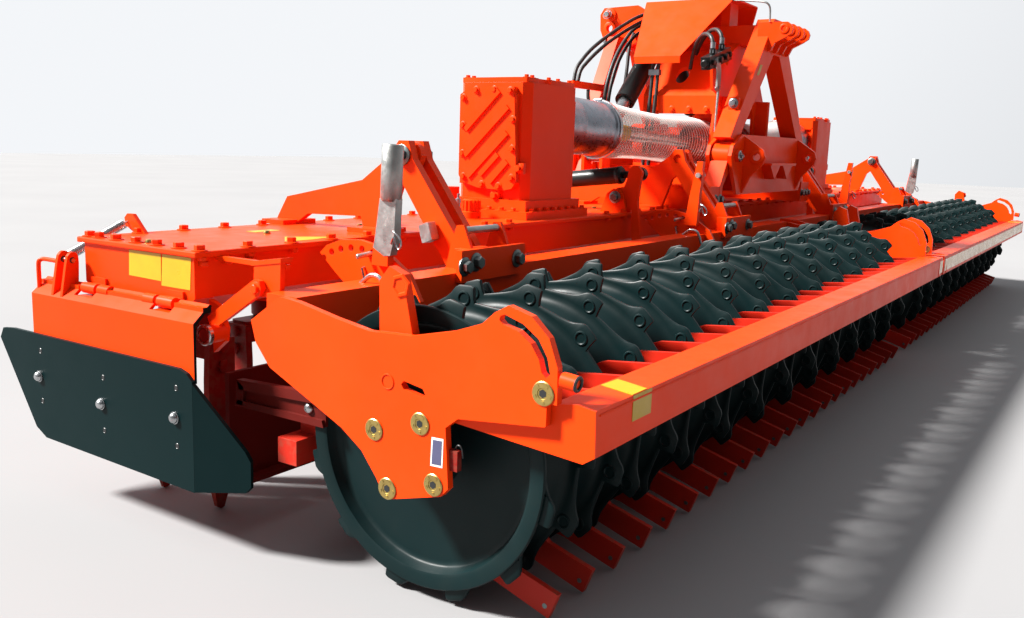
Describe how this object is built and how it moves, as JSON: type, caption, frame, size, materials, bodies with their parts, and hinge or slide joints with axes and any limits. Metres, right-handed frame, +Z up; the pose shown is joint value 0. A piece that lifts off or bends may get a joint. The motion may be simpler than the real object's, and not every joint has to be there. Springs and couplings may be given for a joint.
{
  "type": "folding power harrow with packer rollers",
  "caption": "Wide folding power harrow: centre frame with headstock, two hinged wings with tined rotors, toothed packer rollers, scrapers, side deflectors and hinged roller frames.",
  "frame": {"origin": "middle of the footprint at ground level, the machine standing on its rollers and tines", "axes": "+X machine's right, +Y direction of travel, +Z up"},
  "size_m": [6.128, 1.706, 1.485],
  "materials": {
    "orange_paint": "gloss powder coat",
    "roller_dark": "satin dark grey-green paint",
    "tool_red": "dipped red paint",
    "bright_steel": "ground steel",
    "black_paint": "semi-gloss black",
    "hose_rubber": "smooth rubber",
    "guard_plastic": "clear ribbed plastic"
  },
  "bodies": {
    "chassis": {"centre_frame": "orange_paint", "headstock": "orange_paint", "tower_roof": "orange_paint", "rear_coupling_frame": "orange_paint", "centre_gearbox": "orange_paint", "hydraulic_valve": "black_paint", "hoses": "hose_rubber"},
    "pto_shaft": {"pto_shaft": "bright_steel"},
    "wing_left": {"wing_trough_left": "orange_paint", "wing_cover_left": "orange_paint", "wing_gearbox_left": "orange_paint", "wing_brackets_left": "orange_paint", "levelling_cylinder_left": "black_paint", "drive_shaft_left": "guard_plastic"},
    "levelling_board_left": {"levelling_board_left": "orange_paint"},
    "roller_frame_left": {"roller_frame_left": "orange_paint", "scraper_beam_left": "orange_paint", "knives_left": "tool_red"},
    "roller_left": {"roller_left": "roller_dark"},
    "side_deflector_left": {"side_deflector_left": "orange_paint"},
    "rotor_left_01": {"rotor_left_01": "tool_red"},
    "rotor_left_02": {"rotor_left_02": "tool_red"},
    "rotor_left_03": {"rotor_left_03": "tool_red"},
    "rotor_left_04": {"rotor_left_04": "tool_red"},
    "rotor_left_05": {"rotor_left_05": "tool_red"},
    "rotor_left_06": {"rotor_left_06": "tool_red"},
    "rotor_left_07": {"rotor_left_07": "tool_red"},
    "rotor_left_08": {"rotor_left_08": "tool_red"},
    "rotor_left_09": {"rotor_left_09": "tool_red"},
    "rotor_left_10": {"rotor_left_10": "tool_red"},
    "rotor_left_11": {"rotor_left_11": "tool_red"},
    "rotor_left_12": {"rotor_left_12": "tool_red"},
    "fold_cylinder_left": {"fold_cylinder_left": "black_paint"},
    "fold_rod_left": {"fold_rod_left": "bright_steel"},
    "wing_right": {"wing_trough_right": "orange_paint", "wing_cover_right": "orange_paint", "wing_gearbox_right": "orange_paint", "wing_brackets_right": "orange_paint", "levelling_cylinder_right": "black_paint", "drive_shaft_right": "guard_plastic"},
    "levelling_board_right": {"levelling_board_right": "orange_paint"},
    "roller_frame_right": {"roller_frame_right": "orange_paint", "scraper_beam_right": "orange_paint", "knives_right": "tool_red"},
    "roller_right": {"roller_right": "roller_dark"},
    "side_deflector_right": {"side_deflector_right": "orange_paint"},
    "rotor_right_01": {"rotor_right_01": "tool_red"},
    "rotor_right_02": {"rotor_right_02": "tool_red"},
    "rotor_right_03": {"rotor_right_03": "tool_red"},
    "rotor_right_04": {"rotor_right_04": "tool_red"},
    "rotor_right_05": {"rotor_right_05": "tool_red"},
    "rotor_right_06": {"rotor_right_06": "tool_red"},
    "rotor_right_07": {"rotor_right_07": "tool_red"},
    "rotor_right_08": {"rotor_right_08": "tool_red"},
    "rotor_right_09": {"rotor_right_09": "tool_red"},
    "rotor_right_10": {"rotor_right_10": "tool_red"},
    "rotor_right_11": {"rotor_right_11": "tool_red"},
    "rotor_right_12": {"rotor_right_12": "tool_red"},
    "fold_cylinder_right": {"fold_cylinder_right": "black_paint"},
    "fold_rod_right": {"fold_rod_right": "bright_steel"}
  },
  "joints": [
    {"name": "fold_left", "type": "hinge", "parent": "chassis", "child": "wing_left", "pos_m": [-0.45, 0.253, 0.812], "axis": [0, 1, 0], "range_deg": [0, 90], "deforming": ["drive_shaft_left"]},
    {"name": "level_left", "type": "hinge", "parent": "wing_left", "child": "levelling_board_left", "pos_m": [-1.08, 0.1, 0.652], "axis": [1, 0, 0], "range_deg": [-3, 3]},
    {"name": "roller_arm_left", "type": "hinge", "parent": "wing_left", "child": "roller_frame_left", "pos_m": [-1.562, 0.011, 0.795], "axis": [1, 0, 0], "range_deg": [0, 8]},
    {"name": "roller_turn_left", "type": "hinge", "parent": "roller_frame_left", "child": "roller_left", "pos_m": [-1.5, -0.477, 0.285], "axis": [1, 0, 0], "continuous": true},
    {"name": "deflector_left", "type": "hinge", "parent": "wing_left", "child": "side_deflector_left", "pos_m": [-3.022, 0.2515, 0.49], "axis": [0, 1, 0], "range_deg": [0, 60]},
    {"name": "rotor_left_01_turn", "type": "hinge", "parent": "wing_left", "child": "rotor_left_01", "pos_m": [-0.125, 0.2515, 0.3], "axis": [0, 0, 1], "continuous": true},
    {"name": "rotor_left_02_turn", "type": "hinge", "parent": "wing_left", "child": "rotor_left_02", "pos_m": [-0.375, 0.2515, 0.3], "axis": [0, 0, 1], "continuous": true},
    {"name": "rotor_left_03_turn", "type": "hinge", "parent": "wing_left", "child": "rotor_left_03", "pos_m": [-0.625, 0.2515, 0.3], "axis": [0, 0, 1], "continuous": true},
    {"name": "rotor_left_04_turn", "type": "hinge", "parent": "wing_left", "child": "rotor_left_04", "pos_m": [-0.875, 0.2515, 0.3], "axis": [0, 0, 1], "continuous": true},
    {"name": "rotor_left_05_turn", "type": "hinge", "parent": "wing_left", "child": "rotor_left_05", "pos_m": [-1.125, 0.2515, 0.3], "axis": [0, 0, 1], "continuous": true},
    {"name": "rotor_left_06_turn", "type": "hinge", "parent": "wing_left", "child": "rotor_left_06", "pos_m": [-1.375, 0.2515, 0.3], "axis": [0, 0, 1], "continuous": true},
    {"name": "rotor_left_07_turn", "type": "hinge", "parent": "wing_left", "child": "rotor_left_07", "pos_m": [-1.625, 0.2515, 0.3], "axis": [0, 0, 1], "continuous": true},
    {"name": "rotor_left_08_turn", "type": "hinge", "parent": "wing_left", "child": "rotor_left_08", "pos_m": [-1.875, 0.2515, 0.3], "axis": [0, 0, 1], "continuous": true},
    {"name": "rotor_left_09_turn", "type": "hinge", "parent": "wing_left", "child": "rotor_left_09", "pos_m": [-2.125, 0.2515, 0.3], "axis": [0, 0, 1], "continuous": true},
    {"name": "rotor_left_10_turn", "type": "hinge", "parent": "wing_left", "child": "rotor_left_10", "pos_m": [-2.375, 0.2515, 0.3], "axis": [0, 0, 1], "continuous": true},
    {"name": "rotor_left_11_turn", "type": "hinge", "parent": "wing_left", "child": "rotor_left_11", "pos_m": [-2.625, 0.2515, 0.3], "axis": [0, 0, 1], "continuous": true},
    {"name": "rotor_left_12_turn", "type": "hinge", "parent": "wing_left", "child": "rotor_left_12", "pos_m": [-2.875, 0.2515, 0.3], "axis": [0, 0, 1], "continuous": true},
    {"name": "fold_cylinder_swing_left", "type": "hinge", "parent": "chassis", "child": "fold_cylinder_left", "pos_m": [-0.105, 0.455, 1.29], "axis": [0, 1, 0], "range_deg": [0, 2.61]},
    {"name": "fold_rod_slide_left", "type": "slide", "parent": "fold_cylinder_left", "child": "fold_rod_left", "axis": [-0.7259, 0, -0.6878], "range_m": [-0.24, 0]},
    {"name": "fold_right", "type": "hinge", "parent": "chassis", "child": "wing_right", "pos_m": [0.45, 0.253, 0.812], "axis": [0, -1, 0], "range_deg": [0, 90], "deforming": ["drive_shaft_right"]},
    {"name": "level_right", "type": "hinge", "parent": "wing_right", "child": "levelling_board_right", "pos_m": [1.08, 0.1, 0.652], "axis": [1, 0, 0], "range_deg": [-3, 3]},
    {"name": "roller_arm_right", "type": "hinge", "parent": "wing_right", "child": "roller_frame_right", "pos_m": [1.562, 0.011, 0.795], "axis": [1, 0, 0], "range_deg": [0, 8]},
    {"name": "roller_turn_right", "type": "hinge", "parent": "roller_frame_right", "child": "roller_right", "pos_m": [1.5, -0.477, 0.285], "axis": [1, 0, 0], "continuous": true},
    {"name": "deflector_right", "type": "hinge", "parent": "wing_right", "child": "side_deflector_right", "pos_m": [3.022, 0.2515, 0.49], "axis": [0, -1, 0], "range_deg": [0, 60]},
    {"name": "rotor_right_01_turn", "type": "hinge", "parent": "wing_right", "child": "rotor_right_01", "pos_m": [0.125, 0.2515, 0.3], "axis": [0, 0, 1], "continuous": true},
    {"name": "rotor_right_02_turn", "type": "hinge", "parent": "wing_right", "child": "rotor_right_02", "pos_m": [0.375, 0.2515, 0.3], "axis": [0, 0, 1], "continuous": true},
    {"name": "rotor_right_03_turn", "type": "hinge", "parent": "wing_right", "child": "rotor_right_03", "pos_m": [0.625, 0.2515, 0.3], "axis": [0, 0, 1], "continuous": true},
    {"name": "rotor_right_04_turn", "type": "hinge", "parent": "wing_right", "child": "rotor_right_04", "pos_m": [0.875, 0.2515, 0.3], "axis": [0, 0, 1], "continuous": true},
    {"name": "rotor_right_05_turn", "type": "hinge", "parent": "wing_right", "child": "rotor_right_05", "pos_m": [1.125, 0.2515, 0.3], "axis": [0, 0, 1], "continuous": true},
    {"name": "rotor_right_06_turn", "type": "hinge", "parent": "wing_right", "child": "rotor_right_06", "pos_m": [1.375, 0.2515, 0.3], "axis": [0, 0, 1], "continuous": true},
    {"name": "rotor_right_07_turn", "type": "hinge", "parent": "wing_right", "child": "rotor_right_07", "pos_m": [1.625, 0.2515, 0.3], "axis": [0, 0, 1], "continuous": true},
    {"name": "rotor_right_08_turn", "type": "hinge", "parent": "wing_right", "child": "rotor_right_08", "pos_m": [1.875, 0.2515, 0.3], "axis": [0, 0, 1], "continuous": true},
    {"name": "rotor_right_09_turn", "type": "hinge", "parent": "wing_right", "child": "rotor_right_09", "pos_m": [2.125, 0.2515, 0.3], "axis": [0, 0, 1], "continuous": true},
    {"name": "rotor_right_10_turn", "type": "hinge", "parent": "wing_right", "child": "rotor_right_10", "pos_m": [2.375, 0.2515, 0.3], "axis": [0, 0, 1], "continuous": true},
    {"name": "rotor_right_11_turn", "type": "hinge", "parent": "wing_right", "child": "rotor_right_11", "pos_m": [2.625, 0.2515, 0.3], "axis": [0, 0, 1], "continuous": true},
    {"name": "rotor_right_12_turn", "type": "hinge", "parent": "wing_right", "child": "rotor_right_12", "pos_m": [2.875, 0.2515, 0.3], "axis": [0, 0, 1], "continuous": true},
    {"name": "fold_cylinder_swing_right", "type": "hinge", "parent": "chassis", "child": "fold_cylinder_right", "pos_m": [0.105, 0.455, 1.29], "axis": [0, -1, 0], "range_deg": [0, 2.61]},
    {"name": "fold_rod_slide_right", "type": "slide", "parent": "fold_cylinder_right", "child": "fold_rod_right", "axis": [0.7259, 0, -0.6878], "range_m": [-0.24, 0]},
    {"name": "pto_turn", "type": "hinge", "parent": "chassis", "child": "pto_shaft", "pos_m": [0, 0.523, 0.855], "axis": [0, 1, 0], "continuous": true}
  ],
  "couplings": [
    {"joint": "rotor_left_02_turn", "follows": "rotor_left_01_turn", "ratio": -1},
    {"joint": "rotor_left_03_turn", "follows": "rotor_left_01_turn", "ratio": 1},
    {"joint": "rotor_left_04_turn", "follows": "rotor_left_01_turn", "ratio": -1},
    {"joint": "rotor_left_05_turn", "follows": "rotor_left_01_turn", "ratio": 1},
    {"joint": "rotor_left_06_turn", "follows": "rotor_left_01_turn", "ratio": -1},
    {"joint": "rotor_left_07_turn", "follows": "rotor_left_01_turn", "ratio": 1},
    {"joint": "rotor_left_08_turn", "follows": "rotor_left_01_turn", "ratio": -1},
    {"joint": "rotor_left_09_turn", "follows": "rotor_left_01_turn", "ratio": 1},
    {"joint": "rotor_left_10_turn", "follows": "rotor_left_01_turn", "ratio": -1},
    {"joint": "rotor_left_11_turn", "follows": "rotor_left_01_turn", "ratio": 1},
    {"joint": "rotor_left_12_turn", "follows": "rotor_left_01_turn", "ratio": -1},
    {"joint": "fold_cylinder_swing_left", "follows": "fold_left", "ratio": 0.027921},
    {"joint": "fold_rod_slide_left", "follows": "fold_left", "m_per_rad": -0.15247},
    {"joint": "rotor_right_01_turn", "follows": "rotor_left_01_turn", "ratio": -1},
    {"joint": "rotor_right_02_turn", "follows": "rotor_left_01_turn", "ratio": 1},
    {"joint": "rotor_right_03_turn", "follows": "rotor_left_01_turn", "ratio": -1},
    {"joint": "rotor_right_04_turn", "follows": "rotor_left_01_turn", "ratio": 1},
    {"joint": "rotor_right_05_turn", "follows": "rotor_left_01_turn", "ratio": -1},
    {"joint": "rotor_right_06_turn", "follows": "rotor_left_01_turn", "ratio": 1},
    {"joint": "rotor_right_07_turn", "follows": "rotor_left_01_turn", "ratio": -1},
    {"joint": "rotor_right_08_turn", "follows": "rotor_left_01_turn", "ratio": 1},
    {"joint": "rotor_right_09_turn", "follows": "rotor_left_01_turn", "ratio": -1},
    {"joint": "rotor_right_10_turn", "follows": "rotor_left_01_turn", "ratio": 1},
    {"joint": "rotor_right_11_turn", "follows": "rotor_left_01_turn", "ratio": -1},
    {"joint": "rotor_right_12_turn", "follows": "rotor_left_01_turn", "ratio": 1},
    {"joint": "fold_cylinder_swing_right", "follows": "fold_right", "ratio": 0.027921},
    {"joint": "fold_rod_slide_right", "follows": "fold_right", "m_per_rad": -0.15247},
    {"joint": "pto_turn", "follows": "rotor_left_01_turn", "ratio": 3}
  ]
}
